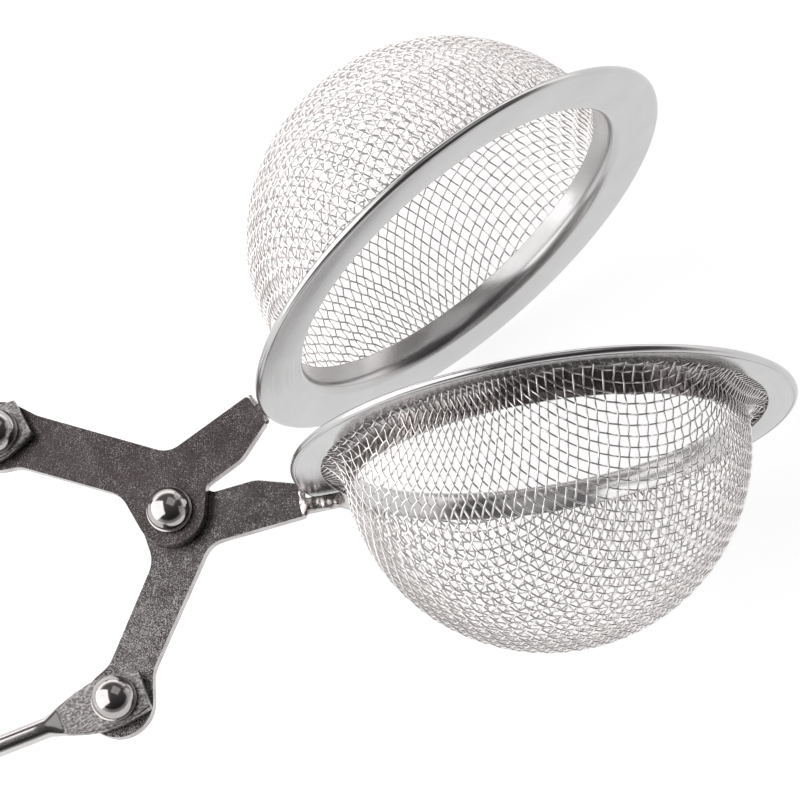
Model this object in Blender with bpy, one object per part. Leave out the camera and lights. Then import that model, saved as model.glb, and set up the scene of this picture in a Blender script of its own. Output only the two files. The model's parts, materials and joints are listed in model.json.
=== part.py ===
"""Snap-ball tea infuser: two woven-wire bowls on scissor levers, worked by a sprung wire handle.

Lengths are in metres. The design frame has its origin on the jaw pivot, +X towards the bowls,
+Y towards the upper bowl and +Z along the pivot axis. The whole assembly is then laid on a table,
so that it stands on the edges of both rims and on the bend of the handle.
"""
import math

import bmesh
import bpy
from mathutils import Matrix, Vector

MM = 0.001
GAP = 0.3 * MM                      # clearance between neighbouring pieces

# Jaws
HALF_OPENING = math.radians(15.0)   # each jaw's angle from the centre line, as modelled
RIM_DISTANCE = 39.8 * MM            # jaw pivot to the centre of a rim
RIM_HEIGHT = 2.9 * MM               # centre of the rims above the lever plane
FACE_OFFSET = 0.15 * MM             # mating face to the line through the pivot

# Collar ring: a flat flange with a deep collar and a rolled edge
RIM_RADIUS = 26.0 * MM
HEM_RADIUS = 0.45 * MM
HEM_INNER_RADIUS = 25.62 * MM
SHEET = 0.3 * MM
MOUTH_RADIUS = 20.85 * MM           # where the flat face starts to turn into the collar
COLLAR_BEND = 1.0 * MM
COLLAR_HEIGHT = 3.2 * MM

# Back ring that clamps the cloth
BACK_INNER_RADIUS = 22.9 * MM
BACK_OUTER_RADIUS = 25.32 * MM

# Woven bowl
CLOTH = 0.3 * MM                    # thickness of the woven cloth
BOWL_RADIUS = 20.75 * MM
BOWL_DEPTH = 22.8 * MM              # mating face to the bottom of the bowl
FLARE_RADIUS = 1.9 * MM             # the cloth turns outwards over the collar
FLARE_CENTRE = (22.65 * MM, 2.95 * MM)
FLARE_STEP = 3.0                    # degrees from the end of the flare to the bowl's first point

# Levers
PLATE = 1.2 * MM
PIN_ARM = 20.3 * MM                 # jaw pivot to handle pivot
PIN_ANGLE = math.radians(115.0)     # between the bowl arm and the handle pivot
PIVOT_BOSS = 3.6 * MM
PIN_BOSS = 3.65 * MM
LEAN = 0.5 * MM                     # both levers' arms sit this far to the upper bowl's side
TONGUE_WIDTH = 1.3 * MM             # strip of the lever that is welded behind the rim
TONGUE_OVERLAP = 0.75 * MM          # how far it reaches past the back ring's inner edge
EDGE_BREAK = 0.12 * MM

# Rivets
SHANK_RADIUS = 1.2 * MM
HOLE_RADIUS = 1.35 * MM
FREE_HOLE_RADIUS = 2.05 * MM        # the open pivot of the linkage needs room to shift
DOME_RADIUS = 2.25 * MM
DOME_SIDE = 0.15 * MM               # upright part of a head
DOME_HEIGHT = 1.95 * MM             # rounded part above it
SKIRT_RADIUS = 2.4 * MM
SKIRT_HEIGHT = 0.25 * MM
TAIL_RADIUS = 2.9 * MM
TAIL_HEIGHT = 0.7 * MM

# Handle
WIRE_RADIUS = 1.075 * MM
FLAT_THICKNESS = 1.2 * MM
ROD_LENGTH = 86.0 * MM              # handle pivot to the start of the bend, along X
BEND_RADIUS = 8.0 * MM
TIP_REACH = 3.2 * MM                # handle pivot to the end of the flattened wire
FLAT_SQUARENESS = 0.3               # of the flattened end's section; 1 is round
# Distance from the tip and half width of the flattened end, both in millimetres
FLAT_WIDTHS = ((0.0, 2.1), (1.2, 2.45), (3.2, 2.75), (5.2, 2.65), (7.2, 2.2), (9.2, 1.5))
ROUND_FROM = 10.8 * MM              # from here on the wire is round

# Divisions of the round pieces
RIM_STEPS = 48
BOWL_STEPS = 40
SMALL_STEPS = 20
BEND_STEPS = 10


# ---------------------------------------------------------------- helpers

def arc(centre, radius, start, end, steps):
    """Points on an arc, angles in degrees."""
    points = []
    for i in range(steps + 1):
        angle = math.radians(start + (end - start) * i / steps)
        points.append((centre[0] + radius * math.cos(angle), centre[1] + radius * math.sin(angle)))
    return points


def plain_material(name, colour, roughness, metallic):
    mat = bpy.data.materials.new(name)
    mat.use_nodes = True
    mat.diffuse_color = (*colour, 1.0)
    shader = mat.node_tree.nodes["Principled BSDF"]
    shader.inputs["Base Color"].default_value = (*colour, 1.0)
    shader.inputs["Roughness"].default_value = roughness
    shader.inputs["Metallic"].default_value = metallic
    return mat


def make_object(name, bm, colour, roughness, metallic, smooth_angle=35.0):
    bmesh.ops.recalc_face_normals(bm, faces=bm.faces)
    mesh = bpy.data.meshes.new(name)
    bm.to_mesh(mesh)
    bm.free()
    mesh.shade_smooth()
    mesh.set_sharp_from_angle(angle=math.radians(smooth_angle))
    mesh.materials.append(plain_material(name, colour, roughness, metallic))
    obj = bpy.data.objects.new(name, mesh)
    bpy.context.scene.collection.objects.link(obj)
    return obj


def empty(name, parent=None, location=(0, 0, 0)):
    obj = bpy.data.objects.new(name, None)
    obj.empty_display_size = 0.01
    obj.parent = parent
    obj.location = location
    bpy.context.scene.collection.objects.link(obj)
    return obj


def place(obj, parent, location=(0, 0, 0), rotation=(0, 0, 0)):
    obj.parent = parent
    obj.location = location
    obj.rotation_euler = rotation
    return obj


def turned(profile, closed, steps):
    """Turn an (r, z) profile about Z. An open profile has both its ends on the axis."""
    bm = bmesh.new()
    verts = [bm.verts.new((r, 0, z)) for r, z in profile]
    edges = [bm.edges.new(pair) for pair in zip(verts, verts[1:])]
    if closed:
        edges.append(bm.edges.new((verts[-1], verts[0])))
    bmesh.ops.spin(bm, geom=verts + edges, cent=(0, 0, 0), axis=(0, 0, 1),
                   angle=2 * math.pi, steps=steps, use_merge=True)
    bmesh.ops.remove_doubles(bm, verts=bm.verts, dist=1e-7)
    return bm


def tangent_angle(point, centre, radius, side):
    """Angle on a circle, in degrees, of the tangent drawn from an outside point."""
    dx, dy = point[0] - centre[0], point[1] - centre[1]
    spread = math.acos(radius / math.hypot(dx, dy))
    return math.degrees(math.atan2(dy, dx) + side * spread)


def fillet(before, corner, after, radius, steps=5):
    """Points that round the corner of an outline, whichever way it turns."""
    here = Vector(corner)
    back, on = (Vector(before) - here).normalized(), (Vector(after) - here).normalized()
    half = back.angle(on) / 2
    centre = here + (back + on).normalized() * radius / math.sin(half)
    first = here + back * radius / math.tan(half) - centre
    last = here + on * radius / math.tan(half) - centre
    sweep = first.angle_signed(last)
    turns = [Matrix.Rotation(-sweep * i / steps, 2) for i in range(steps + 1)]
    return [tuple(centre + turn @ first) for turn in turns]


def boss(before, centre, radius, after, steps=14):
    """Outer arc of a round boss, between the tangents from two corners (anticlockwise)."""
    start = tangent_angle(before, centre, radius, 1)
    end = tangent_angle(after, centre, radius, -1)
    while end < start:
        end += 360
    return arc(centre, radius, start, end, steps)


def circle(centre, radius, steps=SMALL_STEPS):
    return arc(centre, radius, 0, 360, steps)[:-1]


def plate(outline, holes, bottom, thickness):
    """A flat plate with holes, extruded upwards from z = bottom."""
    bm = bmesh.new()
    for loop in [outline] + holes:
        verts = [bm.verts.new((x, y, bottom)) for x, y in loop]
        for a, b in zip(verts, verts[1:] + verts[:1]):
            bm.edges.new((a, b))
    bmesh.ops.triangle_fill(bm, use_beauty=True, use_dissolve=False, edges=bm.edges)
    made = bmesh.ops.extrude_face_region(bm, geom=bm.faces[:])
    top = [item for item in made["geom"] if isinstance(item, bmesh.types.BMVert)]
    bmesh.ops.translate(bm, verts=top, vec=(0, 0, thickness))
    return bm


# ---------------------------------------------------------------- pieces

def collar_ring(name):
    """Flange, rolled edge and collar in one stamping; z = 0 is the mating face."""
    inner_bend = (MOUTH_RADIUS, COLLAR_BEND)
    hem = (RIM_RADIUS - HEM_RADIUS, HEM_RADIUS)
    profile = [(MOUTH_RADIUS - COLLAR_BEND, COLLAR_HEIGHT)]
    profile += arc(inner_bend, COLLAR_BEND, 180, 270, 4)
    profile += arc(hem, HEM_RADIUS, -90, 90, 4)
    profile += [(HEM_INNER_RADIUS, 2 * HEM_RADIUS), (HEM_INNER_RADIUS, SHEET)]
    profile += arc(inner_bend, COLLAR_BEND - SHEET, 270, 180, 3)
    profile += [(MOUTH_RADIUS - COLLAR_BEND + SHEET, COLLAR_HEIGHT)]
    return make_object(name, turned(profile, True, RIM_STEPS), (0.62, 0.62, 0.61), 0.3, 1.0)


def back_ring(name):
    """Flat ring behind the flange, flush with the rolled edge."""
    top = 2 * HEM_RADIUS
    bottom = top - SHEET
    profile = [(BACK_INNER_RADIUS, bottom), (BACK_OUTER_RADIUS, bottom),
               (BACK_OUTER_RADIUS, top), (BACK_INNER_RADIUS, top)]
    return make_object(name, turned(profile, True, RIM_STEPS), (0.6, 0.6, 0.59), 0.32, 1.0)


def bowl_side(offset):
    """Half section of the cloth, from the clamped edge to the bottom of the bowl."""
    radius = BOWL_RADIUS - offset
    centre = (0, BOWL_DEPTH - BOWL_RADIUS)
    flare = arc(FLARE_CENTRE, FLARE_RADIUS + offset, 270, 180, 3)
    start = math.degrees(math.asin((FLARE_CENTRE[1] - centre[1]) / BOWL_RADIUS)) + FLARE_STEP
    return flare + arc(centre, radius, start, 90, 9)


def mesh_bowl(name):
    """Thin closed shell with the true outer shape of the woven bowl."""
    outside, inside = bowl_side(0), bowl_side(CLOTH)
    profile = outside[::-1] + inside
    profile[0] = (0, profile[0][1])
    profile[-1] = (0, profile[-1][1])
    return make_object(name, turned(profile, False, BOWL_STEPS), (0.7, 0.69, 0.67), 0.35, 1.0, 60.0)


def lever_outline(pin, lean):
    """Outline of a bell crank, anticlockwise from the welded tongue; the bowl arm is along +X."""
    back = FACE_OFFSET + 2 * HEM_RADIUS + GAP     # just behind the rim
    rim_edge = RIM_DISTANCE - RIM_RADIUS - GAP
    tongue_end = RIM_DISTANCE - BACK_INNER_RADIUS + TONGUE_OVERLAP
    tongue_top = back + TONGUE_WIDTH

    def leaning(x, y, share_x=0.0, share_y=1.0):
        return (x * MM + share_x * lean, y * MM + share_y * lean)

    # Bowl arm, handle arm and the two corners at the pivot
    tip_high, tip_low = leaning(13.6, 3.55), leaning(13.2, 0.03)
    crook, belly = leaning(3.46, 4.37, 0.4, 1.1), leaning(9.0, -1.25)
    neck_out, neck_in = leaning(-4.45, 16.7, 0.3, 1.6), leaning(-9.0, 14.4, 0.0, 0.0)
    hip, waist = leaning(-2.85, 4.68, 0.0, 0.3), leaning(4.5, -0.92)
    shoulder, heel = (rim_edge, tongue_top), (rim_edge, back)
    pin_arc = boss(neck_out, pin, PIN_BOSS, neck_in)
    pivot_arc = boss(hip, (0, 0), PIVOT_BOSS, waist)

    outline = fillet(heel, (tongue_end, back), (tongue_end, tongue_top), 0.3 * MM, 2)
    outline += fillet((tongue_end, back), (tongue_end, tongue_top), shoulder, 0.5 * MM, 2)
    outline += [shoulder]
    outline += fillet(shoulder, tip_high, crook, 0.35 * MM, 2)
    outline += fillet(tip_high, crook, neck_out, 2.6 * MM)
    outline += fillet(crook, neck_out, pin_arc[0], 4.0 * MM, 2)
    outline += pin_arc
    outline += fillet(pin_arc[-1], neck_in, hip, 3.0 * MM, 2)
    outline += fillet(neck_in, hip, pivot_arc[0], 3.2 * MM, 3)
    outline += pivot_arc
    outline += fillet(pivot_arc[-1], waist, belly, 0.8 * MM, 2)
    outline += fillet(waist, belly, tip_low, 3.0 * MM, 2)
    return outline + [tip_low, heel]


def lever(name, colour, lean, pin_hole_radius):
    """Bell crank stamping in its own frame: pivot at the origin, bowl arm along +X."""
    pin = (PIN_ARM * math.cos(PIN_ANGLE), PIN_ARM * math.sin(PIN_ANGLE))
    holes = [circle((0, 0), HOLE_RADIUS), circle(pin, pin_hole_radius)]
    obj = make_object(name, plate(lever_outline(pin, lean), holes, GAP / 2, PLATE), colour, 0.4, 1.0)
    bevel = obj.modifiers.new("edge_break", "BEVEL")
    bevel.width = EDGE_BREAK
    bevel.segments = 1
    bevel.limit_method = "ANGLE"
    bevel.angle_limit = math.radians(60)
    return obj


def rivet(name, grip_bottom, grip_top):
    """Domed rivet through a stack of plates, peened at the back."""
    tail_top, skirt_bottom = grip_bottom - GAP, grip_top + GAP
    skirt_top = skirt_bottom + SKIRT_HEIGHT
    widest = skirt_top + DOME_SIDE
    tail = arc((0, 0), 1.0, -90, 0, 4)
    dome = arc((0, 0), 1.0, 0, 90, 6)
    profile = [(TAIL_RADIUS * r, tail_top + TAIL_HEIGHT * z) for r, z in tail]
    profile += [(SHANK_RADIUS, tail_top), (SHANK_RADIUS, skirt_bottom)]
    profile += [(SKIRT_RADIUS, skirt_bottom), (SKIRT_RADIUS, skirt_top), (DOME_RADIUS, skirt_top)]
    profile += [(DOME_RADIUS * r, widest + DOME_HEIGHT * z) for r, z in dome]
    profile[0] = (0, profile[0][1])
    profile[-1] = (0, profile[-1][1])
    return make_object(name, turned(profile, False, SMALL_STEPS), (0.75, 0.74, 0.72), 0.12, 1.0, 40.0)


def wire_section(half_width, half_thickness, squareness, count=16):
    """Cross-section between a circle (squareness 1) and a rounded bar (below 1)."""
    points = []
    for i in range(count):
        angle = 2 * math.pi * (i + 0.5) / count
        across = math.copysign(abs(math.cos(angle)) ** squareness, math.cos(angle))
        up = math.copysign(abs(math.sin(angle)) ** squareness, math.sin(angle))
        points.append((half_width * across, half_thickness * up))
    return points


def pin_place():
    """Upper handle pivot in the design frame; the lower one mirrors it."""
    angle = PIN_ANGLE + HALF_OPENING
    return PIN_ARM * math.cos(angle), PIN_ARM * math.sin(angle)


def wire_stations(flat_height, bend_height):
    """Stations of the upper half: centre, height, heading, half width, half thickness, squareness."""
    pin = Vector(pin_place())
    bend = Vector((pin.x - ROD_LENGTH, 0))
    touch = math.radians(tangent_angle(pin, bend, BEND_RADIUS, 1))
    bend_start = bend + BEND_RADIUS * Vector((math.cos(touch), math.sin(touch)))
    along = (bend_start - pin).normalized()
    tip = pin - along * TIP_REACH

    stations = []
    for distance, half_width in FLAT_WIDTHS:
        shape = (half_width * MM, FLAT_THICKNESS / 2, FLAT_SQUARENESS)
        stations.append((tip + along * distance * MM, flat_height, along, *shape))
    round_wire = (WIRE_RADIUS, WIRE_RADIUS, 1.0)
    stations.append((tip + along * ROUND_FROM, flat_height, along, *round_wire))
    last_angle = math.pi - GAP / 2 / BEND_RADIUS
    for i in range(BEND_STEPS + 1):
        angle = touch + (last_angle - touch) * i / BEND_STEPS
        centre = bend + BEND_RADIUS * Vector((math.cos(angle), math.sin(angle)))
        heading = Vector((-math.sin(angle), math.cos(angle)))
        stations.append((centre, bend_height, heading, *round_wire))
    return stations


def handle_half(name, side, flat_height, bend_height):
    """One half of the hairpin: flattened end, straight rod and a quarter turn of the bend.

    side is +1 for the upper half and -1 for the lower one. The flattened end's middle lies at
    flat_height, and both halves reach bend_height at the bend, where they meet.
    """
    bm = bmesh.new()
    rings = []
    for centre, height, heading, *section in wire_stations(flat_height, bend_height):
        ring = []
        for across, up in wire_section(*section):
            x = centre.x - heading.y * across
            y = centre.y + heading.x * across
            ring.append(bm.verts.new((x, side * y, height + up)))
        rings.append(ring)
    for ring, following in zip(rings, rings[1:]):
        for i in range(len(ring)):
            j = (i + 1) % len(ring)
            bm.faces.new((ring[i], ring[j], following[j], following[i]))
    bm.faces.new(rings[0])
    bm.faces.new(rings[-1])
    return make_object(name, bm, (0.66, 0.65, 0.63), 0.22, 1.0, 50.0)


def drill(obj, x, y, height):
    """Rivet hole through the flattened end of a handle half."""
    bm = bmesh.new()
    bmesh.ops.create_cone(bm, cap_ends=True, segments=SMALL_STEPS, radius1=HOLE_RADIUS,
                          radius2=HOLE_RADIUS, depth=4 * FLAT_THICKNESS)
    bmesh.ops.translate(bm, verts=bm.verts, vec=(x, y, height))
    mesh = bpy.data.meshes.new(obj.name + "_drill")
    bm.to_mesh(mesh)
    bm.free()
    cutter = bpy.data.objects.new(obj.name + "_drill", mesh)
    bpy.context.scene.collection.objects.link(cutter)
    cutter.parent = obj
    cutter.hide_render = True
    cutter.display_type = "WIRE"
    cut = obj.modifiers.new("rivet_hole", "BOOLEAN")
    cut.operation = "DIFFERENCE"
    cut.solver = "EXACT"
    cut.object = cutter


# ---------------------------------------------------------------- assembly

def add_bowl(label, jaw, height):
    """Collar ring, back ring and woven bowl of one jaw, mouth towards the other jaw."""
    where = (RIM_DISTANCE, FACE_OFFSET, height)
    upright = (-math.pi / 2, 0, 0)              # local +Z becomes the jaw's +Y
    for piece in (collar_ring(label + "_collar_ring"), back_ring(label + "_back_ring"),
                  mesh_bowl(label + "_mesh_bowl")):
        place(piece, jaw, where, upright)


def rest_on_table(root, rims, handle):
    """Tilt the assembly until rims and handle touch the table, origin under the middle."""
    bpy.context.view_layer.update()

    def points(objects):
        return [obj.matrix_world @ v.co for obj in objects for v in obj.data.vertices]

    def drop(tilt):
        turn = Matrix.Rotation(-tilt, 3, "Y")
        return min((turn @ p).z for p in rim_points) - min((turn @ p).z for p in handle_points)

    rim_points, handle_points = points(rims), points(handle)
    low, high = 0.0, math.radians(30)
    for _ in range(50):
        middle = (low + high) / 2
        low, high = (middle, high) if drop(middle) < 0 else (low, middle)
    turn = Matrix.Rotation(-middle, 3, "Y")
    everything = [turn @ p for p in rim_points + handle_points]
    root.rotation_euler = (0, -middle, 0)
    root.location = (-(min(p.x for p in everything) + max(p.x for p in everything)) / 2,
                     -(min(p.y for p in everything) + max(p.y for p in everything)) / 2,
                     -min(p.z for p in everything))


def build():
    for obj in list(bpy.data.objects):
        bpy.data.objects.remove(obj, do_unlink=True)

    pin_x, pin_y = pin_place()
    infuser = empty("infuser")
    plate_top = GAP / 2 + PLATE
    front_flat = plate_top + GAP + FLAT_THICKNESS / 2      # on top of the front lever
    rear_flat = GAP / 2 + FLAT_THICKNESS / 2               # on top of the rear lever
    bend_height = (front_flat + rear_flat) / 2

    # Handle, upper half: the piece that everything else hangs from
    upper_wire = handle_half("handle_wire_upper", 1, front_flat, bend_height)
    place(upper_wire, infuser)
    drill(upper_wire, pin_x, pin_y, front_flat)
    upper_rivet = rivet("upper_handle_rivet", GAP / 2, front_flat + FLAT_THICKNESS / 2)
    place(upper_rivet, infuser, (pin_x, pin_y, 0))

    # Front jaw, which turns on the upper handle pivot
    upper_pivot = empty("upper_handle_pivot", infuser, (pin_x, pin_y, 0))
    front_jaw = empty("front_jaw", upper_pivot, (-pin_x, -pin_y, 0))
    front_jaw.rotation_euler = (0, 0, HALF_OPENING)
    place(lever("front_lever", (0.13, 0.12, 0.115), LEAN, HOLE_RADIUS), front_jaw)
    add_bowl("upper", front_jaw, RIM_HEIGHT)
    place(rivet("pivot_rivet", -plate_top, plate_top), front_jaw)

    # Rear jaw: the same stampings turned over, on the jaw pivot
    rear_jaw = empty("rear_jaw", front_jaw)
    rear_jaw.rotation_euler = (math.pi, 0, -2 * HALF_OPENING)
    place(lever("rear_lever", (0.2, 0.19, 0.185), -LEAN, FREE_HOLE_RADIUS), rear_jaw)
    add_bowl("lower", rear_jaw, -RIM_HEIGHT)

    # Handle, lower half, which flexes at the bend
    flex = empty("handle_flex", infuser, (pin_x - ROD_LENGTH - BEND_RADIUS, 0, bend_height))
    lower_wire = handle_half("handle_wire_lower", -1, rear_flat, bend_height)
    place(lower_wire, flex, -flex.location)
    drill(lower_wire, pin_x, -pin_y, rear_flat)
    lower_rivet = rivet("lower_handle_rivet", -plate_top, rear_flat + FLAT_THICKNESS / 2)
    place(lower_rivet, flex, Vector((pin_x, -pin_y, 0)) - flex.location)

    rims = [obj for obj in bpy.data.objects if obj.name.endswith("_collar_ring")]
    rest_on_table(infuser, rims, [upper_wire, lower_wire])


build()
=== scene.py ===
"""Looks of the snap-ball tea infuser: woven bowls, turned rims, stamped levers, rivets, wire handle."""
import json
import math

import bmesh
import bpy
import numpy as np
from mathutils import Matrix, Vector, noise


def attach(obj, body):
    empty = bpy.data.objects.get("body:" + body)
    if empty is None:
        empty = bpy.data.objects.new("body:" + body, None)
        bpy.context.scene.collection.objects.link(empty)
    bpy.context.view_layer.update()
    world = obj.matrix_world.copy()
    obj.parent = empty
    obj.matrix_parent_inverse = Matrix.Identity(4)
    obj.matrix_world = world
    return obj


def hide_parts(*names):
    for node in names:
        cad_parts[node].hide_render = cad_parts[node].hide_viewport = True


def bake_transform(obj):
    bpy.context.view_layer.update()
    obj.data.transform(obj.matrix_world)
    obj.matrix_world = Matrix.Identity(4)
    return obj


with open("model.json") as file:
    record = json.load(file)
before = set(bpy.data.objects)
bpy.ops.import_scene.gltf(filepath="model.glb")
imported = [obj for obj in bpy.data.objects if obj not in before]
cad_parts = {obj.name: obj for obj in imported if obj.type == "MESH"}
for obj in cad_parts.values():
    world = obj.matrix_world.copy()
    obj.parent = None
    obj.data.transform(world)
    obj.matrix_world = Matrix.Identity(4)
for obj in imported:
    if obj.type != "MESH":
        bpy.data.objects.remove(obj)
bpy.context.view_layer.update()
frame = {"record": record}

MM = 0.001

# Rims, in their own frame: z = 0 is the mating face
RIM_DISTANCE = 39.8 * MM            # jaw pivot to the centre of a rim
RIM_HEIGHT = 2.9 * MM               # centre of the rims above the lever plane
FACE_OFFSET = 0.15 * MM             # half of the gap between the closed faces
RIM_RADIUS = 26.0 * MM
HEM_RADIUS = 0.45 * MM              # rolled outer edge
HEM_INNER_RADIUS = 25.62 * MM
SHEET = 0.3 * MM
MOUTH_RADIUS = 20.85 * MM
COLLAR_BEND = 1.0 * MM              # step from the flange into the collar, along the radius
COLLAR_BEND_RISE = 2.0 * MM         # and along the height
COLLAR_HEIGHT = 3.2 * MM
COLLAR_OUTER = MOUTH_RADIUS - COLLAR_BEND + 0.9 * SHEET  # just inside the wall behind the cloth
BACK_INNER_RADIUS = 22.9 * MM
BACK_OUTER_RADIUS = 25.56 * MM
SHARP_EDGE = 0.07 * MM              # rounding of the back ring and of the rivets' skirts

# Woven cloth
PITCH = 1.07 * MM
THREAD_RADIUS = 0.102 * MM
CRIMP = 0.115 * MM
CLOTH_RADIUS = 20.6 * MM            # middle of the cloth
CLOTH_CENTRE = 2.05 * MM            # height of the bowl's centre over the mating face
CLAMP_HEIGHT = 0.45 * MM            # middle of the cloth where the rings hold it
FLARE_START = 2.8 * MM              # height where the bowl turns out to the clamp
FLARE_CLEARANCE = 0.25 * MM         # from the back ring's inner edge to the flare
CLAMP_REACH = 1.6 * MM              # how far the cloth runs under the back ring
TRIM = 0.2 * MM                     # threads end this far inside the edge of the cloth
SHORTEST_THREAD = 3                 # steps
UPPER_WEAVE = -26.0                 # turn of the weave in each bowl, in degrees
LOWER_WEAVE = -36.0

# Levers
PLATE = 1.2 * MM
GAP = 0.3 * MM
PIN_ARM = 20.3 * MM
PIN_ANGLE = math.radians(115.0)
PIVOT_BOSS = 3.6 * MM
PIN_BOSS = 3.65 * MM
LEAN = 0.5 * MM                     # both levers' arms sit this far to the front jaw's side
TONGUE_WIDTH = 1.3 * MM
TONGUE_OVERLAP = 0.75 * MM          # how far the tongue reaches past the back ring
EDGE_ROUNDING = 0.2 * MM

# Rivets
SHANK_RADIUS = 1.2 * MM
HOLE_RADIUS = 1.35 * MM
FREE_HOLE_RADIUS = 2.05 * MM        # oversize hole of the lower handle rivet
DOME_RADIUS = 2.25 * MM
DOME_SIDE = 0.15 * MM               # upright part of a head
DOME_HEIGHT = 1.95 * MM             # rounded part above it
SKIRT_RADIUS = 2.4 * MM
SKIRT_HEIGHT = 0.25 * MM
TAIL_RADIUS = 2.9 * MM
TAIL_HEIGHT = 0.7 * MM

# Handle
WIRE_RADIUS = 1.075 * MM
FLAT_THICKNESS = 1.2 * MM
ROD_LENGTH = 86.0 * MM
BEND_RADIUS = 8.0 * MM
TIP_REACH = 3.2 * MM                # flattened tip past the rivet
ROUND_FROM = 10.8                   # distance from the tip, in mm, where the wire is round again

# Shape of the flattened end: (distance from the tip, value), in mm
HALF_WIDTHS = [(0.0, 2.1), (1.2, 2.45), (3.2, 2.75), (5.2, 2.65), (7.2, 2.2), (9.2, 1.5),
               (ROUND_FROM, 1.075)]
HALF_THICKNESSES = [(0.0, 0.6), (9.2, 0.6), (ROUND_FROM, 1.075)]
SQUARENESS = [(0.0, 0.22), (9.2, 0.25), (ROUND_FROM, 1.0)]  # 0 square, 1 round

# Welds
WELD_VOXEL = 0.07 * MM
WELD_SMOOTHING = 20
WELD_ROUGHNESS = 0.18               # height of the lumps, of a spot's size
WELD_FLATNESS = 0.75

# Camera and studio
CAMERA_TARGET = Vector((48.33, 1.56, 16.9)) * MM
CAMERA_DISTANCE = 670.3 * MM
CAMERA_AZIMUTH = -11.92             # degrees, 0 looks along +Y
CAMERA_ELEVATION = 70.71
CAMERA_ROLL = -12.13
CAMERA_LENS = 292.9
SENSOR = 36.0
CLIP_END = 50.0
WINDOW = {"azimuth": -105, "elevation": 28, "distance": 0.8, "width": 1.1, "height": 1.2, "power": 8.0}
SKYLIGHT = {"azimuth": 137, "elevation": 64, "distance": 0.9, "width": 0.6, "height": 0.6, "power": 0.45}
FLOOR_SIZE = 4.0
WALL_NEAR = 0.35                    # brightness of the walls, the floor being 1
WALL_FAR = 2.0
CEILING = 0.08                      # of the walls' brightness
CEILING_FADE = (0.16, 0.44)         # sine of the elevation where the walls end and the ceiling starts
ROOM_TINT = (1.0, 0.965, 0.965, 1)
FLOOR_GLOW = 0.84

# Divisions
RING_STEPS = 288
COLLAR_STEPS = 16
RIVET_STEPS = 72
TAIL_STEPS = 9
HEAD_STEPS = 30
THREAD_SIDES = 6
STEPS_PER_PITCH = 4
DOME_POINTS = 400                   # of the cloth's section, up to the flare
FLARE_STEPS = 60
FLAT_POINTS = 55                    # along the flattened end of the wire
ROD_POINTS = 60
BEND_STEPS = 40


# ---------------------------------------------------------------- frames taken from the record

def joint(name):
    return next(j for j in frame["record"]["behaviour"]["joints"] if j["name"] == name)


def position(entry):
    return Vector(entry["pos_m"])


def axes_matrix(x, y, z, origin):
    turn = Matrix((x, y, z)).transposed().to_4x4()
    return Matrix.Translation(origin) @ turn


def design_matrix():
    """Jaw pivot at the origin, +Z along the pivots, +X towards the bowls."""
    up = Vector(joint("upper_handle_pivot")["axis"]).normalized()
    pivot = position(joint("jaw_pivot"))
    along = pivot - position(joint("handle_flex"))
    along = (along - up * along.dot(up)).normalized()
    return axes_matrix(along, up.cross(along), up, pivot)


def half_opening(design):
    mount = next(m for m in frame["record"]["mounts"] if m["name"] == "lower_rim_face")
    normal = Vector(mount["axis"]).normalized()
    return design.col[1].xyz.angle(normal)


DESIGN = design_matrix()
HALF_OPENING = half_opening(DESIGN)
FRONT_JAW = DESIGN @ Matrix.Rotation(HALF_OPENING, 4, "Z")
REAR_JAW = DESIGN @ Matrix.Rotation(-HALF_OPENING, 4, "Z") @ Matrix.Rotation(math.pi, 4, "X")


def ring_matrix(jaw, side):
    """Centre of a rim, local +Z into the bowl, local +X away from the jaw pivot."""
    shift = Matrix.Translation((RIM_DISTANCE, FACE_OFFSET, side * RIM_HEIGHT))
    return jaw @ shift @ Matrix.Rotation(-math.pi / 2, 4, "X")


# ---------------------------------------------------------------- mesh helpers

def arc(centre, radius, start, end, steps):
    """Points on an arc, angles in degrees."""
    angles = [math.radians(start + (end - start) * i / steps) for i in range(steps + 1)]
    return [(centre[0] + radius * math.cos(a), centre[1] + radius * math.sin(a)) for a in angles]


def add_object(name, mesh, matrix, material, *, smooth_angle=40.0, modify=None):
    """A piece made in its own coordinates, kept for its material, then set down in the scene."""
    mesh.shade_smooth()
    mesh.set_sharp_from_angle(angle=math.radians(smooth_angle))
    mesh.materials.append(material)
    obj = bpy.data.objects.new(name, mesh)
    bpy.context.scene.collection.objects.link(obj)
    if modify:
        modify(obj)
        bake_modifiers(obj)
    own = np.empty(3 * len(obj.data.vertices), dtype=np.float32)
    obj.data.vertices.foreach_get("co", own)
    obj.data.attributes.new("own_place", "FLOAT_VECTOR", "POINT").data.foreach_set("vector", own)
    obj.data.transform(matrix)
    return obj


def turned(name, profile, closed, steps):
    """Turn an (r, z) profile about Z. An open profile has both its ends on the axis."""
    bm = bmesh.new()
    verts = [bm.verts.new((r, 0, z)) for r, z in profile]
    edges = [bm.edges.new(pair) for pair in zip(verts, verts[1:])]
    if closed:
        edges.append(bm.edges.new((verts[-1], verts[0])))
    bmesh.ops.spin(bm, geom=verts + edges, cent=(0, 0, 0), axis=(0, 0, 1),
                   angle=2 * math.pi, steps=steps, use_merge=True)
    bmesh.ops.remove_doubles(bm, verts=bm.verts, dist=1e-7)
    bmesh.ops.recalc_face_normals(bm, faces=bm.faces)
    mesh = bpy.data.meshes.new(name)
    bm.to_mesh(mesh)
    bm.free()
    return mesh


def bake_modifiers(obj):
    bpy.context.view_layer.update()
    evaluated = obj.evaluated_get(bpy.context.evaluated_depsgraph_get())
    mesh = bpy.data.meshes.new_from_object(evaluated)
    obj.modifiers.clear()
    obj.data = mesh


def tangent_angle(point, centre, radius, side):
    dx, dy = point[0] - centre[0], point[1] - centre[1]
    spread = math.acos(radius / math.hypot(dx, dy))
    return math.degrees(math.atan2(dy, dx) + side * spread)


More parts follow.
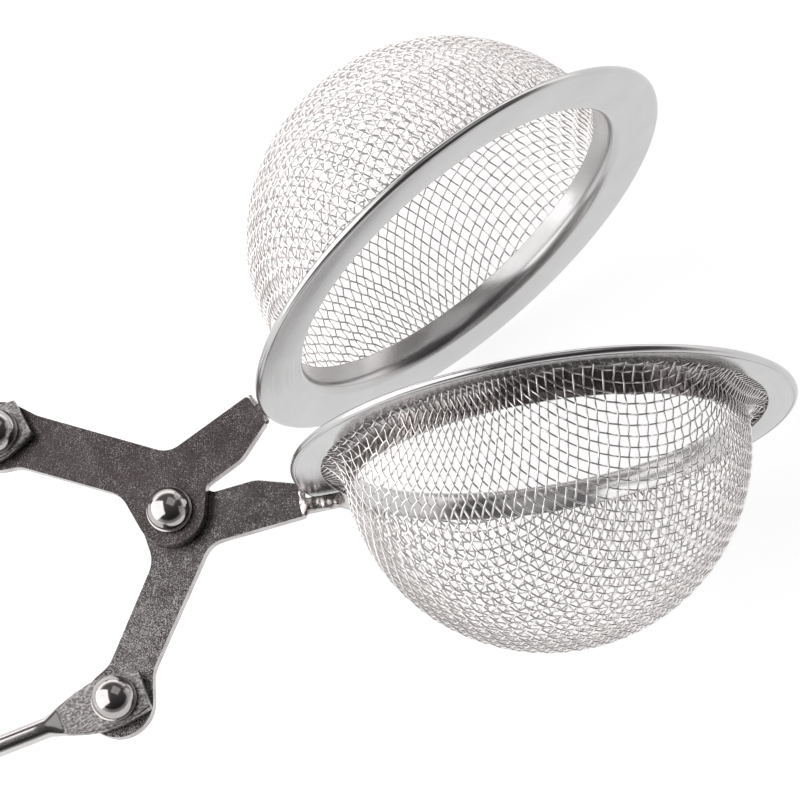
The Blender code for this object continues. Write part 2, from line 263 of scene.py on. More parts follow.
def fillet(before, corner, after, radius, steps=10):
    """Points that round the corner of an outline, whichever way it turns."""
    here = Vector(corner)
    back, on = (Vector(before) - here).normalized(), (Vector(after) - here).normalized()
    half = back.angle(on) / 2
    centre = here + (back + on).normalized() * radius / math.sin(half)
    first = here + back * radius / math.tan(half) - centre
    last = here + on * radius / math.tan(half) - centre
    sweep = first.angle_signed(last)
    return [tuple(centre + Matrix.Rotation(-sweep * i / steps, 2) @ first) for i in range(steps + 1)]


def boss(before, centre, radius, after, steps=48):
    """Outer arc of a round boss, between the tangents from two corners (anticlockwise)."""
    start = tangent_angle(before, centre, radius, 1)
    end = tangent_angle(after, centre, radius, -1)
    while end < start:
        end += 360
    return arc(centre, radius, start, end, steps)


# ---------------------------------------------------------------- material helpers

class Nodes:
    """A material's node tree, with short calls for the nodes used here."""

    def __init__(self, name):
        self.material = bpy.data.materials.new(name)
        self.material.use_nodes = True
        self.tree = self.material.node_tree
        self.shader = self.tree.nodes["Principled BSDF"]

    def node(self, kind, **inputs):
        made = self.tree.nodes.new(kind)
        for key, value in inputs.items():
            self.feed(made.inputs[key], value)
        return made

    def feed(self, socket, value):
        if isinstance(value, bpy.types.NodeSocket):
            self.tree.links.new(value, socket)
        else:
            socket.default_value = value

    def math(self, operation, a, b=0.0):
        made = self.tree.nodes.new("ShaderNodeMath")
        made.operation = operation
        self.feed(made.inputs[0], a)
        self.feed(made.inputs[1], b)
        return made.outputs[0]

    def place(self):
        """Coordinates of the piece itself, the same in every pose."""
        made = self.node("ShaderNodeAttribute")
        made.attribute_name = "own_place"
        return made.outputs["Vector"]

    def stretched(self, vector, scale):
        made = self.node("ShaderNodeMapping", Vector=vector)
        made.inputs["Scale"].default_value = scale
        return made.outputs[0]

    def noise(self, vector, size, detail=4.0, roughness=0.55):
        """Noise whose features are about size metres across."""
        made = self.node("ShaderNodeTexNoise", Vector=vector, Scale=1.0 / size, Detail=detail,
                         Roughness=roughness)
        return made.outputs["Fac"]

    def level(self, value, low, high, to_low=0.0, to_high=1.0):
        made = self.tree.nodes.new("ShaderNodeMapRange")
        self.feed(made.inputs["Value"], value)
        made.inputs["From Min"].default_value = low
        made.inputs["From Max"].default_value = high
        made.inputs["To Min"].default_value = to_low
        made.inputs["To Max"].default_value = to_high
        return made.outputs[0]

    def mix(self, factor, a, b):
        made = self.tree.nodes.new("ShaderNodeMix")
        made.data_type = "RGBA"
        self.feed(made.inputs["Factor"], factor)
        for socket, colour in ((made.inputs[6], a), (made.inputs[7], b)):  # the colour inputs A and B
            self.feed(socket, colour if isinstance(colour, bpy.types.NodeSocket) else (*colour, 1.0))
        return made.outputs[2]

    def bump(self, height, depth, strength=1.0):
        made = self.node("ShaderNodeBump", Height=height, Strength=strength, Distance=depth)
        self.feed(self.shader.inputs["Normal"], made.outputs[0])

    def finish(self, colour, roughness, metallic=1.0):
        self.feed(self.shader.inputs["Base Color"], colour)
        self.feed(self.shader.inputs["Roughness"], roughness)
        self.shader.inputs["Metallic"].default_value = metallic
        return self.material


def around(nodes, place):
    """Coordinates of a turned piece: radius, length round the rim, height."""
    parts = nodes.node("ShaderNodeSeparateXYZ", Vector=place)
    x, y, z = parts.outputs
    squares = nodes.math("ADD", nodes.math("MULTIPLY", x, x), nodes.math("MULTIPLY", y, y))
    radius = nodes.math("SQRT", squares)
    turn = nodes.math("MULTIPLY", nodes.math("ARCTAN2", y, x), RIM_RADIUS)
    return nodes.node("ShaderNodeCombineXYZ", X=radius, Y=turn, Z=z).outputs[0]


# ---------------------------------------------------------------- materials

def rim_material(name):
    """Turned steel with faint lines round the rim, darker on the collar's wall behind the cloth."""
    n = Nodes(name)
    ring = around(n, n.place())
    streaks = n.noise(n.stretched(ring, (1.0, 0.012, 1.0)), 0.12 * MM, 3.0)
    clouds = n.noise(ring, 6 * MM, 3.0)
    grain = n.noise(n.stretched(ring, (1.0, 0.4, 1.0)), 0.15 * MM, 4.0, 0.65)
    colour = n.mix(n.level(clouds, 0.35, 0.65), (0.545, 0.54, 0.54), (0.575, 0.57, 0.57))
    colour = n.mix(n.level(streaks, 0.50, 0.80, 0.0, 0.2), colour, (0.47, 0.465, 0.46))
    radius, _, height = n.node("ShaderNodeSeparateXYZ", Vector=ring).outputs
    # Darker colour on the collar's outer side behind the cloth, above the flange
    behind_cloth = n.math("MULTIPLY", n.level(radius, COLLAR_OUTER, COLLAR_OUTER + 0.02 * MM),
                          n.level(radius, BACK_INNER_RADIUS, BACK_INNER_RADIUS - 0.5 * MM))
    behind_cloth = n.math("MULTIPLY", behind_cloth, n.level(height, 0.4 * MM, 1.0 * MM))
    colour = n.mix(behind_cloth, colour, (0.26, 0.235, 0.23))
    roughness = n.level(n.math("ADD", streaks, n.math("MULTIPLY", grain, 0.5)), 0.5, 1.0, 0.16, 0.28)
    n.bump(n.math("ADD", n.math("MULTIPLY", streaks, 0.5), grain), 0.0008 * MM, 0.5)
    return n.finish(colour, roughness)


def thread_material(name):
    """Bright drawn wire of the cloth."""
    n = Nodes(name)
    place = n.place()
    tint = n.noise(place, 2.5 * MM, 3.0)
    grain = n.noise(place, 0.07 * MM, 3.0)
    colour = n.mix(n.level(tint, 0.35, 0.65), (0.79, 0.765, 0.76), (0.93, 0.905, 0.90))
    colour = n.mix(n.level(grain, 0.5, 0.8, 0.0, 0.5), colour, (0.46, 0.41, 0.405))
    roughness = n.level(grain, 0.3, 0.7, 0.14, 0.28)
    n.bump(grain, 0.004 * MM, 0.5)
    return n.finish(colour, roughness)


def lever_material(name, dark, light, speckle, arm_glints):
    """Dark tumbled plate; its light specks are painted glints, with more of them along the handle arm.
    """
    n = Nodes(name)
    place = n.place()
    # The light specks are painted glints, brighter on the lighter plate
    brightness = 0.08 + 3.0 * light[0]
    painted_glint = (brightness, 0.96 * brightness, 0.955 * brightness)
    patches = n.noise(place, 1.8 * MM, 4.0, 0.6)
    clouds = n.noise(place, 4 * MM, 4.0)
    grain = n.noise(place, 0.26 * MM, 5.0, 0.7)
    specks = n.noise(place, 0.115 * MM, 2.0, 0.5)
    colour = n.mix(n.level(clouds, 0.3, 0.7), dark, light)
    colour = n.mix(n.level(grain, 0.40, 0.62, 0.0, 0.6), colour, tuple(0.5 * c for c in dark))
    thick = n.math("ADD", specks, n.math("MULTIPLY", n.math("SUBTRACT", patches, 0.5), speckle))
    along_arm = n.node("ShaderNodeSeparateXYZ", Vector=place).outputs["Y"]
    # More painted glints further along the handle arm
    thick = n.math("ADD", thick, n.level(along_arm, 2 * MM, 9 * MM, 0.0, arm_glints))
    # Painted glints laid into the colour as light specks
    colour = n.mix(n.level(thick, 0.57, 0.69), colour, painted_glint)
    roughness = n.level(specks, 0.35, 0.7, 0.26, 0.40)
    n.bump(n.math("ADD", grain, specks), 0.035 * MM, 0.7)
    return n.finish(colour, roughness)


def edge_material(name):
    """Rubbed edges and sheared sides of the levers."""
    n = Nodes(name)
    place = n.place()
    grain = n.noise(n.stretched(place, (1.0, 1.0, 0.2)), 0.12 * MM, 3.0, 0.6)
    stain = n.noise(place, 1.5 * MM, 3.0)
    colour = n.mix(n.level(stain, 0.35, 0.65), (0.36, 0.335, 0.33), (0.55, 0.53, 0.525))
    roughness = n.level(grain, 0.3, 0.7, 0.18, 0.34)
    n.bump(grain, 0.006 * MM, 0.6)
    return n.finish(colour, roughness)


def rivet_material(name):
    """Polished heads with fine scratches."""
    n = Nodes(name)
    place = n.place()
    scratches = n.noise(n.stretched(place, (0.2, 1.0, 1.0)), 0.12 * MM, 4.0, 0.6)
    tint = n.noise(place, 1.2 * MM, 2.0)
    colour = n.mix(n.level(tint, 0.3, 0.7), (0.44, 0.42, 0.415), (0.52, 0.50, 0.495))
    roughness = n.level(scratches, 0.35, 0.75, 0.08, 0.18)
    n.bump(scratches, 0.002 * MM, 0.5)
    return n.finish(colour, roughness)


def handle_material(name):
    """Drawn and polished wire; satin where it has been flattened."""
    n = Nodes(name)
    place = n.place()
    drawn = n.noise(n.stretched(place, (0.03, 1.0, 1.0)), 0.10 * MM, 3.0)
    grain = n.noise(n.stretched(place, (0.6, 1.0, 1.0)), 0.20 * MM, 5.0, 0.7)
    clouds = n.noise(place, 5 * MM, 3.0)
    parts = n.node("ShaderNodeSeparateXYZ", Vector=place)
    satin = n.level(parts.outputs["X"], pin_place()[0] - 6.2 * MM, pin_place()[0] - 5.8 * MM)
    colour = n.mix(n.level(clouds, 0.3, 0.7), (0.60, 0.58, 0.575), (0.68, 0.665, 0.66))
    dull = n.math("MULTIPLY", satin, n.level(grain, 0.40, 0.56, 0.15, 1.0))
    colour = n.mix(dull, colour, (0.17, 0.155, 0.153))
    polished = n.level(drawn, 0.3, 0.7, 0.12, 0.20)
    roughness = n.math("ADD", polished, n.math("MULTIPLY", satin, 0.22))
    relief = n.math("ADD", n.math("MULTIPLY", drawn, 0.05), n.math("MULTIPLY", satin, grain))
    n.bump(relief, 0.04 * MM, 0.6)
    return n.finish(colour, roughness)


def weld_material(name):
    """Weld metal, lighter and darker from the heat."""
    n = Nodes(name)
    place = n.place()
    grain = n.noise(place, 0.2 * MM, 4.0, 0.6)
    heat = n.noise(place, 0.9 * MM, 2.0)
    colour = n.mix(n.level(heat, 0.35, 0.65), (0.36, 0.32, 0.31), (0.72, 0.69, 0.68))
    roughness = n.level(grain, 0.3, 0.7, 0.18, 0.40)
    n.bump(grain, 0.02 * MM, 0.7)
    return n.finish(colour, roughness)


# ---------------------------------------------------------------- rims

def collar_bend(inset, start, end):
    """The rounded step from the flange up into the collar, an ellipse in section."""
    across, rise = COLLAR_BEND - inset, COLLAR_BEND_RISE - inset
    unit = arc((0, 0), 1.0, start, end, COLLAR_STEPS)
    return [(MOUTH_RADIUS + across * x, COLLAR_BEND_RISE + rise * y) for x, y in unit]


def collar_profile():
    """Flange, rolled edge and collar; z = 0 is the mating face."""
    hem = (RIM_RADIUS - HEM_RADIUS, HEM_RADIUS)
    inner = MOUTH_RADIUS - COLLAR_BEND
    lip = (inner + SHEET / 2, COLLAR_HEIGHT - SHEET / 2)
    profile = collar_bend(0, 180, 270)
    profile += arc(hem, HEM_RADIUS, -90, 90, 16)
    profile += fillet((RIM_RADIUS, 2 * HEM_RADIUS), (HEM_INNER_RADIUS, 2 * HEM_RADIUS),
                      (HEM_INNER_RADIUS, 0), 0.08 * MM, 3)
    profile += [(HEM_INNER_RADIUS, SHEET)]
    profile += collar_bend(SHEET, 270, 180)
    profile += arc(lip, SHEET / 2, 0, 180, 8)
    return profile


def back_profile():
    """Flat ring behind the flange that clamps the cloth."""
    top = 2 * HEM_RADIUS
    bottom = top - SHEET
    corners = [(BACK_INNER_RADIUS, bottom), (BACK_OUTER_RADIUS, bottom),
               (BACK_OUTER_RADIUS, top), (BACK_INNER_RADIUS, top)]
    profile = []
    for i, corner in enumerate(corners):
        profile += fillet(corners[i - 1], corner, corners[(i + 1) % 4], SHARP_EDGE, 3)
    return profile


def add_rings(label, matrix, body, material):
    collar = turned(label + "_rim", collar_profile(), True, RING_STEPS)
    collar = add_object(label + "_rim", collar, matrix, material)
    back = turned(label + "_clamp_ring", back_profile(), True, RING_STEPS)
    back = add_object(label + "_clamp_ring", back, matrix, material)
    for piece, node in ((collar, "_collar_ring"), (back, "_back_ring")):
        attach(piece, body)
        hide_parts(label + node)


# ---------------------------------------------------------------- woven bowls

def cloth_section():
    """Half section of the cloth as a fine polyline from the pole to the clamped edge."""
    reach = CLOTH_RADIUS
    flare = BACK_INNER_RADIUS - FLARE_CLEARANCE
    turn = flare - reach
    last = math.acos((FLARE_START - CLOTH_CENTRE) / reach)
    pole = [(reach * math.sin(a), CLOTH_CENTRE + reach * math.cos(a))
            for a in np.linspace(0, last, DOME_POINTS)]
    edge = arc((flare, CLAMP_HEIGHT + turn), turn, 180, 270, FLARE_STEPS)
    edge += [(flare + CLAMP_REACH, CLAMP_HEIGHT)]
    return np.array(pole + edge)


def on_cloth(flat, section, lengths):
    """Lay points of the flat cloth on the bowl. Returns places and outward normals."""
    distance = np.hypot(flat[:, 0], flat[:, 1])
    azimuth = np.arctan2(flat[:, 1], flat[:, 0])
    radius = np.interp(distance, lengths, section[:, 0])
    height = np.interp(distance, lengths, section[:, 1])
    slope = np.gradient(section, axis=0)
    slope /= np.linalg.norm(slope, axis=1)[:, None]
    along_r = np.interp(distance, lengths, slope[:, 0])
    along_z = np.interp(distance, lengths, slope[:, 1])
    ring = np.stack([np.cos(azimuth), np.sin(azimuth)], axis=1)
    places = np.column_stack([ring * radius[:, None], height])
    normals = np.column_stack([ring * -along_z[:, None], along_r])
    return places, normals


def tube(places, normals, radius, sides):
    """Vertices and quads of a tube along a path."""
    heading = np.gradient(places, axis=0)
    heading /= np.linalg.norm(heading, axis=1)[:, None]
    across = np.cross(heading, normals)
    across /= np.linalg.norm(across, axis=1)[:, None]
    up = np.cross(across, heading)
    angles = np.arange(sides) * 2 * np.pi / sides
    rings = (places[:, None, :] + radius * (np.cos(angles)[None, :, None] * up[:, None, :]
                                            + np.sin(angles)[None, :, None] * across[:, None, :]))
    count = len(places)
    index = np.arange(count * sides).reshape(count, sides)
    following = np.roll(index, -1, axis=1)
    quads = np.stack([index[:-1], following[:-1], following[1:], index[1:]], axis=2).reshape(-1, 4)
    return rings.reshape(-1, 3), quads, index[0][::-1], index[-1]


def draped_net(step, reach):
    """One quadrant of a net with fixed cell sides, laid over a unit sphere from its pole."""
    count = int(reach / step) + 2
    net = [[Vector((0, math.sin(j * step), math.cos(j * step))) for j in range(count)]]
    for i in range(1, count):
        row = [Vector((math.sin(i * step), 0, math.cos(i * step)))]
        for j in range(1, count):
            across = net[i - 1][j].cross(row[j - 1]).normalized()
            before = net[i - 1][j - 1]
            row.append(before - 2 * before.dot(across) * across)
        net.append(row)
    return np.array(net)


def thread_run(half, reach):
    """Flat course of one thread through both of its quadrants, out to the edge of the cloth."""
    polar = np.arccos(np.clip(half[:, 2], -1, 1))
    outside = np.nonzero(CLOTH_RADIUS * polar > reach)[0]
    steps = int(outside[0]) - 1 if len(outside) else len(half) - 1
    if steps < SHORTEST_THREAD:
        return None
    spread = CLOTH_RADIUS / np.sinc(polar[:steps + 1] / np.pi)
    course = half[:steps + 1, :2] * spread[:, None]
    return np.concatenate([course[:0:-1] * (1, -1), course])


def threads(name, sign, section, lengths):
    """All the parallel threads of one direction of the weave, in one mesh."""
    reach = lengths[-1] - TRIM
    net = draped_net(PITCH / STEPS_PER_PITCH / CLOTH_RADIUS, reach / CLOTH_RADIUS)
    count = int(reach / PITCH)
    verts, faces, start = [], [], 0
    for row in range(-count, count + 1):
        flat = thread_run(net[abs(row) * STEPS_PER_PITCH], reach)
        if flat is None:
            continue
        run = (np.arange(len(flat)) - len(flat) // 2) * PITCH / STEPS_PER_PITCH
        # Slow uneven drift along the thread, and a shift that differs from row to row
        waver = 0.04 * PITCH * np.sin(run / (7 * MM) + 1.7 * row) + 0.03 * PITCH * math.sin(2.3 * row)
        flat[:, 0] = math.copysign(1, row) * flat[:, 0] + waver
        if sign > 0:
            flat = flat[:, ::-1]
        places, normals = on_cloth(flat, section, lengths)
        lift = sign * CRIMP * np.cos(np.pi * run / PITCH) * (-1) ** row
        places = places + normals * lift[:, None]
        points, quads, first, last = tube(places, normals, THREAD_RADIUS, THREAD_SIDES)
        verts.append(points)
        faces += (quads + start).tolist()
        faces += [(first + start).tolist(), (last + start).tolist()]
        start += len(points)
    mesh = bpy.data.meshes.new(name)
    mesh.from_pydata(np.concatenate(verts).tolist(), [], faces)
    return mesh


def add_bowl(label, matrix, weave_angle, body, material):
    section = cloth_section()
    steps = np.linalg.norm(np.diff(section, axis=0), axis=1)
    lengths = np.concatenate([[0], np.cumsum(steps)])
    turned_weave = matrix @ Matrix.Rotation(math.radians(weave_angle), 4, "Z")
    for direction, sign in (("warp", 1), ("weft", -1)):
        name = label + "_mesh_" + direction
        piece = add_object(name, threads(name, sign, section, lengths), turned_weave, material,
                           smooth_angle=80.0)
        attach(piece, body)
        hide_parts(label + "_mesh_bowl")


# ---------------------------------------------------------------- levers

def lever_outline(lean):
    """Bell crank in its own frame: pivot at the origin, bowl arm along +X."""
    pin = (PIN_ARM * math.cos(PIN_ANGLE), PIN_ARM * math.sin(PIN_ANGLE))
    back = FACE_OFFSET + 2 * HEM_RADIUS + GAP
    rim_edge = RIM_DISTANCE - RIM_RADIUS - GAP
    tongue_end = RIM_DISTANCE - BACK_INNER_RADIUS + TONGUE_OVERLAP
    tongue_top = back + TONGUE_WIDTH

    def leaning(x, y, share_x=0.0, share_y=1.0):
        """Corner in millimetres, moved along by its share of the lean."""
        return (x * MM + share_x * lean, y * MM + share_y * lean)

    tip_high, crook = leaning(13.6, 3.55), leaning(3.46, 4.37, 0.4, 1.1)
    neck_out, neck_in = leaning(-4.45, 16.7, 0.3, 1.6), leaning(-9.0, 14.4, 0.0, 0.0)
    hip, waist = leaning(-2.85, 4.68, 0.0, 0.3), leaning(4.5, -0.92)
    belly, tip_low = leaning(9.0, -1.25), leaning(13.2, 0.03)
    shoulder, heel = (rim_edge, tongue_top), (rim_edge, back)

    pin_arc = boss(neck_out, pin, PIN_BOSS, neck_in)
    pivot_arc = boss(hip, (0, 0), PIVOT_BOSS, waist)

    outline = fillet(heel, (tongue_end, back), (tongue_end, tongue_top), 0.3 * MM, 5)
    outline += fillet((tongue_end, back), (tongue_end, tongue_top), shoulder, 0.5 * MM, 6)
    outline += [shoulder]
    outline += fillet(shoulder, tip_high, crook, 0.35 * MM, 5)
    outline += fillet(tip_high, crook, neck_out, 2.6 * MM, 16)
    outline += fillet(crook, neck_out, pin_arc[0], 4.0 * MM, 8)
    outline += pin_arc
    outline += fillet(pin_arc[-1], neck_in, hip, 3.0 * MM, 8)
    outline += fillet(neck_in, hip, pivot_arc[0], 3.2 * MM, 10)
    outline += pivot_arc
    outline += fillet(pivot_arc[-1], waist, belly, 0.8 * MM, 6)
    outline += fillet(waist, belly, tip_low, 3.0 * MM, 8)
    outline += [tip_low, heel]
    return outline, pin


def round_edges(obj):
    bevel = obj.modifiers.new("edge", "BEVEL")
    bevel.width = EDGE_ROUNDING
    bevel.segments = 4
    bevel.limit_method = "ANGLE"
    bevel.angle_limit = math.radians(60)
    bevel.harden_normals = True


def add_lever(name, jaw, lean, pin_hole, body, material, sides):
    """Stamped plate with its two holes; the sheared sides get their own material."""
    outline, pin = lever_outline(lean)
    loops = [outline, arc((0, 0), HOLE_RADIUS, 0, 360, 40)[:-1], arc(pin, pin_hole, 0, 360, 40)[:-1]]
    bm = bmesh.new()
    for loop in loops:
        verts = [bm.verts.new((x, y, GAP / 2)) for x, y in loop]
        for a, b in zip(verts, verts[1:] + verts[:1]):
            bm.edges.new((a, b))
    bmesh.ops.triangle_fill(bm, use_beauty=True, use_dissolve=False, edges=bm.edges)
    made = bmesh.ops.extrude_face_region(bm, geom=bm.faces[:])
    top = [item for item in made["geom"] if isinstance(item, bmesh.types.BMVert)]
    bmesh.ops.translate(bm, verts=top, vec=(0, 0, PLATE))
    bmesh.ops.recalc_face_normals(bm, faces=bm.faces)
    mesh = bpy.data.meshes.new(name)
    bm.to_mesh(mesh)
    bm.free()
    piece = add_object(name + "_plate", mesh, jaw, material, modify=round_edges)
    piece.data.materials.append(sides)
    flat = DESIGN.col[2].xyz
    for face in piece.data.polygons:
        face.material_index = int(abs(face.normal.dot(flat)) < 0.9)
    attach(piece, body)
    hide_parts(name)


# ---------------------------------------------------------------- rivets

def add_rivet(node, centre, grip_bottom, grip_top, body, material):
    """Domed rivet through a stack of plates, peened at the back."""
    tail_top, skirt_bottom = grip_bottom - GAP, grip_top + GAP
    tail = tail_top - TAIL_HEIGHT
    base = skirt_bottom + SKIRT_HEIGHT
    profile = [(0, tail)]
    for i in range(1, TAIL_STEPS + 1):
        angle = math.radians(90 * i / TAIL_STEPS)
        profile.append((TAIL_RADIUS * math.sin(angle), tail_top - TAIL_HEIGHT * math.cos(angle)))
    profile += [(SHANK_RADIUS, tail_top), (SHANK_RADIUS, skirt_bottom)]
    low, high = (SKIRT_RADIUS, skirt_bottom), (SKIRT_RADIUS, base)
    profile += fillet((0, skirt_bottom), low, high, SHARP_EDGE, 3)
    profile += fillet(low, high, (0, base), SHARP_EDGE, 3)
    widest = base + DOME_SIDE
    for i in range(HEAD_STEPS + 1):
        angle = math.radians(-30 + 120 * i / HEAD_STEPS)
        rise = DOME_HEIGHT if angle > 0 else 2 * DOME_SIDE
        profile.append((DOME_RADIUS * math.cos(angle), widest + rise * math.sin(angle)))
    profile[-1] = (0, widest + DOME_HEIGHT)
    mesh = turned(node + "_turned", profile, False, RIVET_STEPS)
    place = DESIGN @ Matrix.Translation(centre)
    piece = add_object(node + "_turned", mesh, place, material)
    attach(piece, body)
    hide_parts(node)


# ---------------------------------------------------------------- handle

def pin_place():
    """Upper handle pivot in the design frame; the lower one is its mirror image."""
    angle = PIN_ANGLE + HALF_OPENING
    return PIN_ARM * math.cos(angle), PIN_ARM * math.sin(angle)


def value_at(distance, stations):
    """Value at a distance along the wire, between (distance, value) stations."""
    return float(np.interp(distance, *zip(*stations)))


def half_wire(flat_height, bend_height):
    """Stations of the upper half: centre, heading, half width, half thickness, squareness."""
    pin = Vector(pin_place())
    bend = Vector((pin.x - ROD_LENGTH, 0))
    touch = math.radians(tangent_angle(pin, bend, BEND_RADIUS, 1))
    bend_start = bend + BEND_RADIUS * Vector((math.cos(touch), math.sin(touch)))
    along = (bend_start - pin).normalized()
    tip = pin - along * TIP_REACH
    straight = (bend_start - tip).length
    stations = []
    flat_end = ROUND_FROM * MM
    marks = list(np.linspace(0, flat_end, FLAT_POINTS))
    marks += list(np.linspace(flat_end, straight, ROD_POINTS))[1:]
    for distance in marks:
        share = max(0.0, (distance - flat_end) / (straight - flat_end))
        height = flat_height + (bend_height - flat_height) * share
        at = distance / MM
        shape = [value_at(at, HALF_WIDTHS) * MM, value_at(at, HALF_THICKNESSES) * MM,
                 value_at(at, SQUARENESS)]
        stations.append((tip + along * distance, height, along, *shape))
    for i in range(1, BEND_STEPS + 1):
        angle = touch + (math.pi - touch) * i / BEND_STEPS
        centre = bend + BEND_RADIUS * Vector((math.cos(angle), math.sin(angle)))
        heading = Vector((-math.sin(angle), math.cos(angle)))
        stations.append((centre, bend_height, heading, WIRE_RADIUS, WIRE_RADIUS, 1.0))
    return stations


def wire_ring(station, side, count=36):
    """Cross-section of the wire at a station; side -1 mirrors it to the lower half."""
    centre, height, heading, half_width, half_thickness, squareness = station
    ring = []
    for i in range(count):
        angle = 2 * math.pi * (i + 0.5) / count
        cosine, sine = math.cos(angle), math.sin(angle)
        across = math.copysign(abs(cosine) ** squareness, cosine) * half_width
        up = math.copysign(abs(sine) ** squareness, sine) * half_thickness
        x, y = centre.x - heading.y * across, centre.y + heading.x * across
        ring.append((x, side * y, height + up))
    return ring


def add_handle(front_flat, rear_flat, material):
    """The whole wire as one piece, from the upper flattened end round the bend to the lower one."""
    bend_height = (front_flat + rear_flat) / 2
    rings = [wire_ring(s, 1) for s in half_wire(front_flat, bend_height)]
    rings += [wire_ring(s, -1) for s in half_wire(rear_flat, bend_height)[-2::-1]]
    bm = bmesh.new()
    loops = [[bm.verts.new(p) for p in ring] for ring in rings]
    for ring, following in zip(loops, loops[1:]):
        for i in range(len(ring)):
            j = (i + 1) % len(ring)
            bm.faces.new((ring[i], ring[j], following[j], following[i]))
    bm.faces.new(loops[0])
    bm.faces.new(loops[-1])
    bmesh.ops.recalc_face_normals(bm, faces=bm.faces)
    mesh = bpy.data.meshes.new("handle_wire")
    bm.to_mesh(mesh)
    bm.free()
    piece = add_object("handle_wire", mesh, DESIGN, material, smooth_angle=45.0)
    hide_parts("handle_wire_upper", "handle_wire_lower")
    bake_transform(piece)


# ---------------------------------------------------------------- weld beads

def run_of_weld(start, end, size, count):
    """Overlapping spots in a row, slightly uneven; places and sizes in millimetres."""
    spots = []
    for i in range(count):
        place = Vector(start).lerp(Vector(end), i / (count - 1))
        wobble = noise.noise(Vector((1.7 * i, start[1], size)))
        spots.append((place.x, place.y + 0.25 * wobble, place.z, size * (1 + 0.35 * wobble)))
    return spots


def weld_skin(obj):
    skin = obj.modifiers.new("skin", "REMESH")
    skin.mode = "VOXEL"
    skin.voxel_size = WELD_VOXEL
    skin.use_smooth_shade = True
    smooth = obj.modifiers.new("smooth", "SMOOTH")
    smooth.iterations = WELD_SMOOTHING


def add_bead(name, jaw, spots, body, material):
    """A short run of weld: overlapping lumps pulled into one skin."""
    bm = bmesh.new()
    for number, (x, y, z, size) in enumerate(spots):
        made = bmesh.ops.create_icosphere(bm, subdivisions=4, radius=size * MM)
        for vert in made["verts"]:
            rough = noise.noise(vert.co / (0.5 * size * MM) + Vector((number, 0, 0)))
            vert.co *= 1.0 + WELD_ROUGHNESS * rough
            vert.co.z *= WELD_FLATNESS
        bmesh.ops.translate(bm, verts=made["verts"], vec=Vector((x, y, z)) * MM)
    mesh = bpy.data.meshes.new(name)
    bm.to_mesh(mesh)
    bm.free()
    piece = add_object(name, mesh, jaw, material, smooth_angle=80.0, modify=weld_skin)
    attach(piece, body)


# ---------------------------------------------------------------- studio

def look_from(target, azimuth, elevation, roll, distance):
    """Matrix of something at a distance from the target, pointing at it."""
    az, el = math.radians(azimuth), math.radians(elevation)
    away = Vector((math.sin(az) * math.cos(el), -math.cos(az) * math.cos(el), math.sin(el)))
    turn = away.to_track_quat("Z", "Y").to_matrix().to_4x4()
    turn = turn @ Matrix.Rotation(math.radians(roll), 4, "Z")
    return Matrix.Translation(target + away * distance) @ turn


def add_camera():
    data = bpy.data.cameras.new("camera")
    data.lens = CAMERA_LENS
    data.sensor_width = SENSOR
    data.clip_end = CLIP_END
    camera = bpy.data.objects.new("camera", data)
    camera.matrix_world = look_from(CAMERA_TARGET, CAMERA_AZIMUTH, CAMERA_ELEVATION, CAMERA_ROLL,
                                    CAMERA_DISTANCE)
    bpy.context.scene.collection.objects.link(camera)
    bpy.context.scene.camera = camera


def add_softbox(name, azimuth, elevation, distance, width, height, power):
    data = bpy.data.lights.new(name, "AREA")
    data.shape = "RECTANGLE"
    data.size = width
    data.size_y = height
    data.energy = power
    lamp = bpy.data.objects.new(name, data)
    lamp.matrix_world = look_from(CAMERA_TARGET, azimuth, elevation, 0, distance)
    bpy.context.scene.collection.objects.link(lamp)


def add_world():
    """White walls, brightest at the far side, under a dark ceiling."""
    world = bpy.data.worlds.new("room")
    bpy.context.scene.world = world
    world.use_nodes = True
    tree = world.node_tree
    place = tree.nodes.new("ShaderNodeTexCoord")
    parts = tree.nodes.new("ShaderNodeSeparateXYZ")
    tree.links.new(place.outputs["Generated"], parts.inputs[0])
    walls, ceiling = tree.nodes.new("ShaderNodeMapRange"), tree.nodes.new("ShaderNodeMapRange")
    ceiling.interpolation_type = "SMOOTHSTEP"
    for made, axis, values in ((walls, "Y", (-0.8, 0.9, WALL_NEAR, WALL_FAR)),
                               (ceiling, "Z", (*CEILING_FADE, 1.0, CEILING))):
        tree.links.new(parts.outputs[axis], made.inputs["Value"])
        for key, value in zip(("From Min", "From Max", "To Min", "To Max"), values):
            made.inputs[key].default_value = value
    light = tree.nodes.new("ShaderNodeMath")
    light.operation = "MULTIPLY"
    tree.links.new(walls.outputs[0], light.inputs[0])
    tree.links.new(ceiling.outputs[0], light.inputs[1])
    tree.links.new(light.outputs[0], tree.nodes["Background"].inputs["Strength"])
    tree.nodes["Background"].inputs["Color"].default_value = ROOM_TINT


def add_floor():
    bm = bmesh.new()
    bmesh.ops.create_grid(bm, x_segments=1, y_segments=1, size=FLOOR_SIZE / 2)
    mesh = bpy.data.meshes.new("floor")
    bm.to_mesh(mesh)
    bm.free()
    n = Nodes("floor")
    clouds = n.noise(n.place(), 0.4, 2.0)
    colour = n.mix(clouds, (0.36, 0.36, 0.36), (0.40, 0.40, 0.40))
    n.shader.inputs["Emission Color"].default_value = (1, 1, 1, 1)
    n.shader.inputs["Emission Strength"].default_value = FLOOR_GLOW
    floor = add_object("floor", mesh, Matrix.Identity(4), n.finish(colour, 0.9, 0.0))


# ---------------------------------------------------------------- assembly

def add_studio():
    add_camera()
    add_world()
    add_floor()
    add_softbox("window", **WINDOW)
    add_softbox("skylight", **SKYLIGHT)


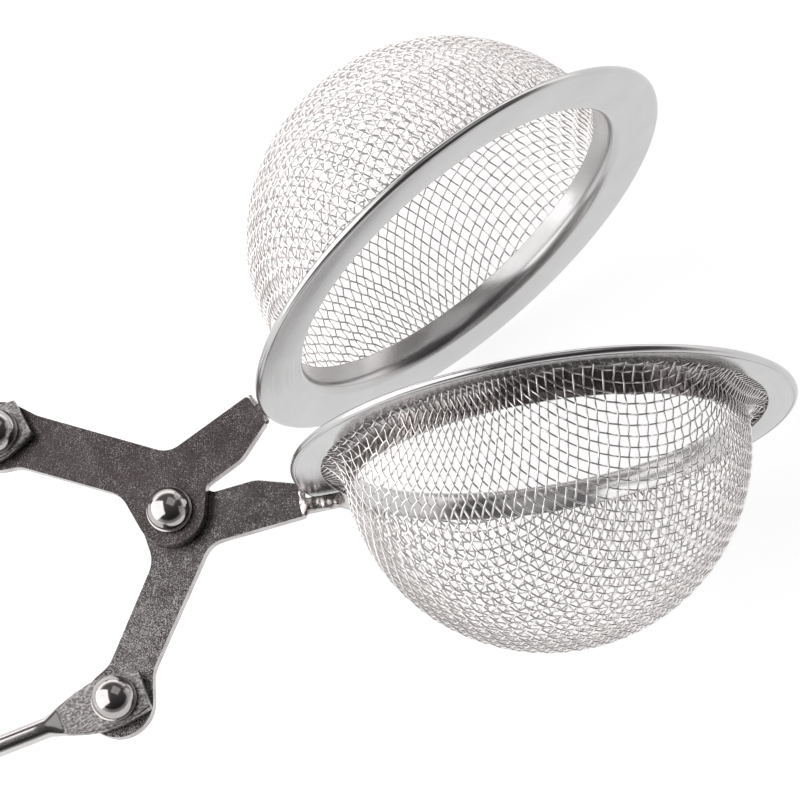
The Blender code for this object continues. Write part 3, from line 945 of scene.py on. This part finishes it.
def build():
    rims = rim_material("rim_steel")
    thread = thread_material("thread_steel")
    rivets = rivet_material("rivet_steel")
    wire = handle_material("wire_steel")
    welds = weld_material("weld")
    front_plate = lever_material("front_lever_steel", dark=(0.088, 0.072, 0.072),
                                 light=(0.125, 0.107, 0.107), speckle=0.25, arm_glints=0.0)
    # The rear plate is painted lighter than the front, a painted sheen, and gets painted glints along
    # its handle arm
    rear_plate = lever_material("rear_lever_steel", dark=(0.090, 0.078, 0.078),
                                light=(0.155, 0.140, 0.140), speckle=0.32, arm_glints=0.075)
    edges = edge_material("sheared_edge")

    jaws = (("upper", "front_jaw", FRONT_JAW, 1, UPPER_WEAVE),
            ("lower", "rear_jaw", REAR_JAW, -1, LOWER_WEAVE))
    for label, body, jaw, side, weave_angle in jaws:
        matrix = ring_matrix(jaw, side)
        add_rings(label, matrix, body, rims)
        add_bowl(label, matrix, weave_angle, body, thread)
    add_lever("front_lever", FRONT_JAW, LEAN, HOLE_RADIUS, "front_jaw", front_plate, edges)
    add_lever("rear_lever", REAR_JAW, -LEAN, FREE_HOLE_RADIUS, "rear_jaw", rear_plate, edges)

    plate_top = GAP / 2 + PLATE
    front_flat = plate_top + GAP + FLAT_THICKNESS / 2
    rear_flat = GAP / 2 + FLAT_THICKNESS / 2
    pin_x, pin_y = pin_place()
    add_rivet("pivot_rivet", (0, 0, 0), -plate_top, plate_top, "front_jaw", rivets)
    add_rivet("upper_handle_rivet", (pin_x, pin_y, 0), GAP / 2, front_flat + FLAT_THICKNESS / 2,
              "handle_upper", rivets)
    add_rivet("lower_handle_rivet", (pin_x, -pin_y, 0), -plate_top, rear_flat + FLAT_THICKNESS / 2,
              "handle_lower", rivets)
    add_handle(front_flat, rear_flat, wire)

    # Front: beside the tongue. Rear: across the tongue's end, then along it.
    front_spots = run_of_weld((13.72, 3.9, 1.0), (13.40, 0.7, 1.0), 0.36, 9)
    rear_spots = run_of_weld((13.40, -0.1, 0.45), (13.55, 2.9, 0.35), 0.42, 12)
    rear_spots += run_of_weld((13.9, 1.9, 0.35), (17.0, 2.0, 0.45), 0.75, 6)
    add_bead("front_weld", FRONT_JAW, front_spots, "front_jaw", welds)
    add_bead("rear_weld", REAR_JAW, rear_spots, "rear_jaw", welds)


bpy.context.scene.view_settings.view_transform = "Standard"
add_studio()
build()
